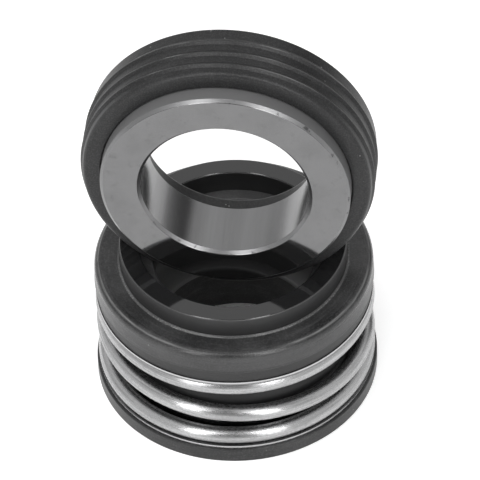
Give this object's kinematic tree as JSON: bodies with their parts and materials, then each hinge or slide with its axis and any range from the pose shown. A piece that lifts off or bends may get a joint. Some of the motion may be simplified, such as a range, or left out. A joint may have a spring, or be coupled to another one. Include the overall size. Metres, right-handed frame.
{
  "type": "mechanical seal",
  "caption": "Rubber-bellows mechanical shaft seal: sprung rotating unit standing on its tail, with the stationary seat in its ribbed rubber cup resting on edge in the face ring.",
  "frame": {"origin": "centre of the tail's underside, on the shaft axis", "axes": "+Z along the shaft axis from the tail to the lapped face of the rotating unit, -Y to the front, where the lapped face of the loose seat points"},
  "size_m": [0.0369, 0.036, 0.0543],
  "materials": {
    "bellows_rubber": "moulded satin black",
    "collar_steel": "pressed sheet",
    "spring_steel": "drawn wire, satin",
    "face_ring_lapped": "lapped dark grey",
    "seat_ring_lapped": "lapped and ground grey",
    "cup_rubber": "moulded satin black"
  },
  "bodies": {
    "tail": {"bellows": "bellows_rubber", "tail_collar": "collar_steel", "spring": "spring_steel"},
    "head": {"head_collar": "collar_steel", "face_ring": "face_ring_lapped", "seat_ring": "seat_ring_lapped", "seat_cup": "cup_rubber"}
  },
  "joints": [
    {"name": "spring_travel", "type": "slide", "parent": "tail", "child": "head", "axis": [0, 0, 1], "range_m": [-0.003, 0], "stiffness_N_per_m": 3300, "springref_m": 0.0006, "deforming": ["bellows", "spring"]}
  ]
}
